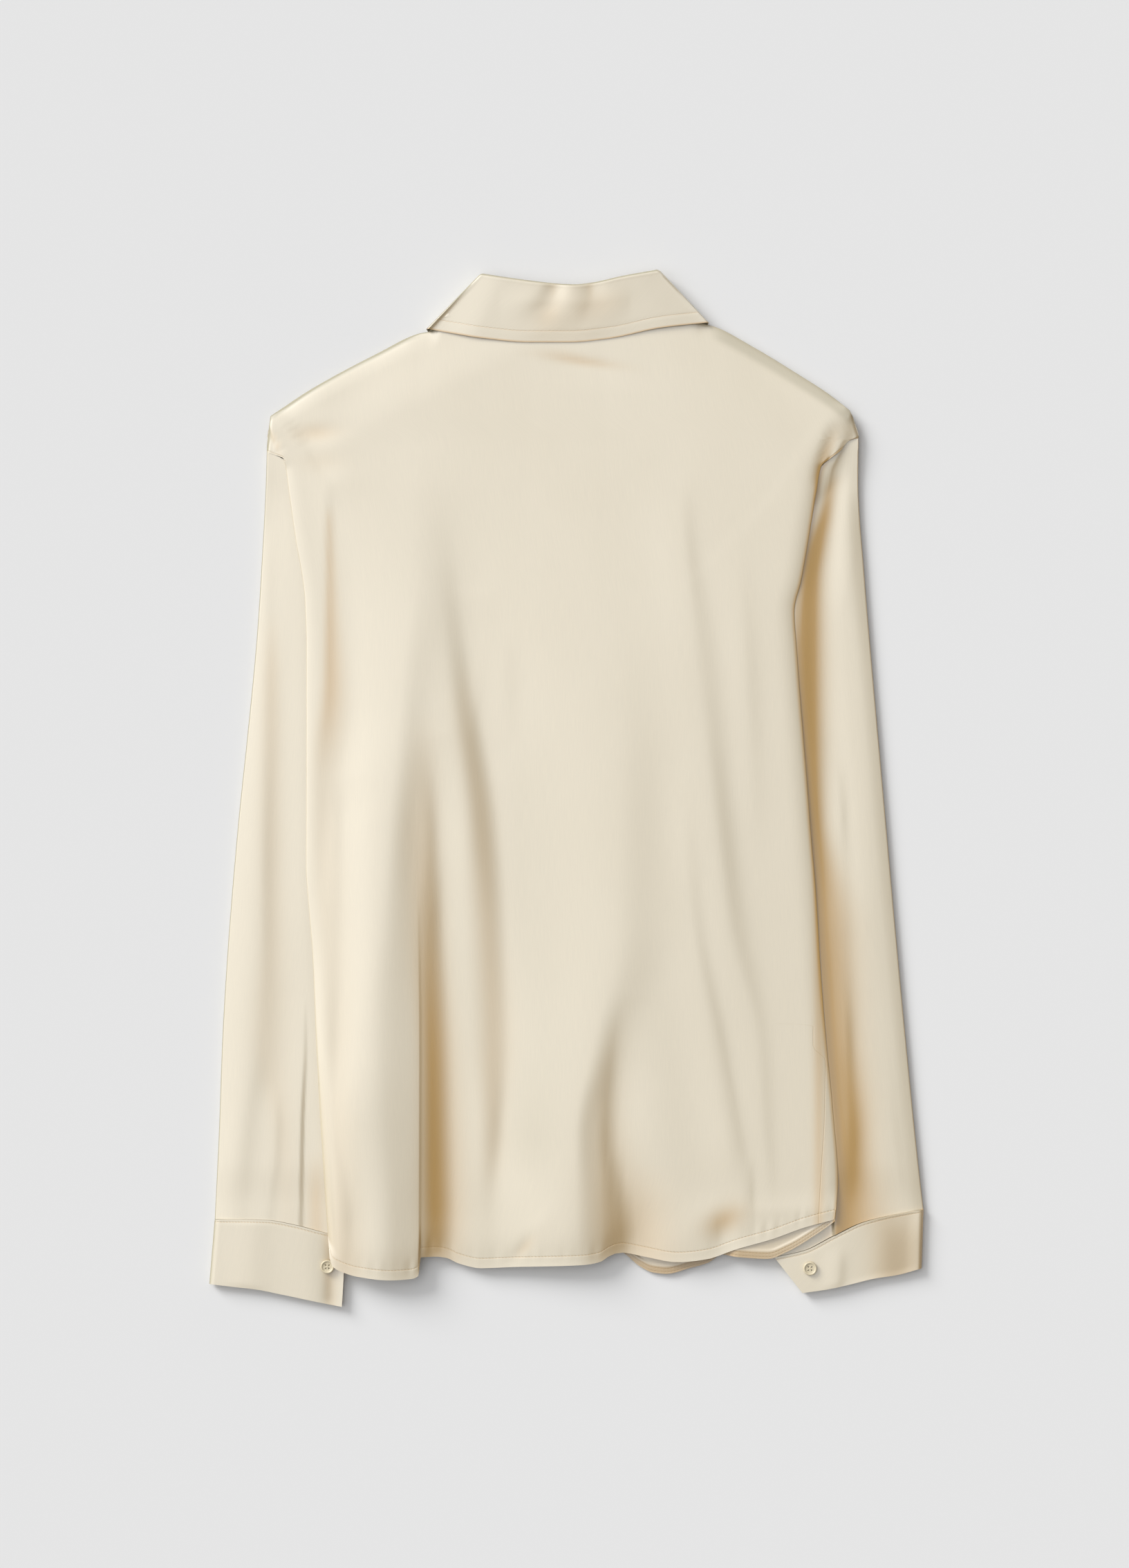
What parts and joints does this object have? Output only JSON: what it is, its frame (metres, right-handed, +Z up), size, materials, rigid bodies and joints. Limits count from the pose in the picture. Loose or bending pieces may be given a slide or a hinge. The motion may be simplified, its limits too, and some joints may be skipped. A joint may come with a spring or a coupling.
{
  "type": "long-sleeved satin shirt",
  "caption": "Cream satin shirt with a turned-down collar and buttoned cuffs, laid flat face down: back up, sleeves beside and partly under the body, uneven curved hem.",
  "frame": {"origin": "on the surface that the shirt lies on, below the middle of its outline", "axes": "+Y from the hem to the collar, +X to the wearer's right as it lies face down, +Z up from the surface"},
  "size_m": [0.5162, 0.7488, 0.0167],
  "materials": {
    "satin": "satin weave, soft sheen",
    "button": "polished"
  },
  "bodies": {
    "root": {"back": "satin", "front_left": "satin", "front_right": "satin", "sleeve_left": "satin", "sleeve_right": "satin", "cuff_left": "satin", "cuff_right": "satin", "collar_leaf": "satin", "collar_stand": "satin", "cuff_button_left": "button", "cuff_button_right": "button", "front_button_1": "button", "front_button_2": "button", "front_button_3": "button", "front_button_4": "button", "front_button_5": "button", "front_button_6": "button"}
  },
  "joints": []
}
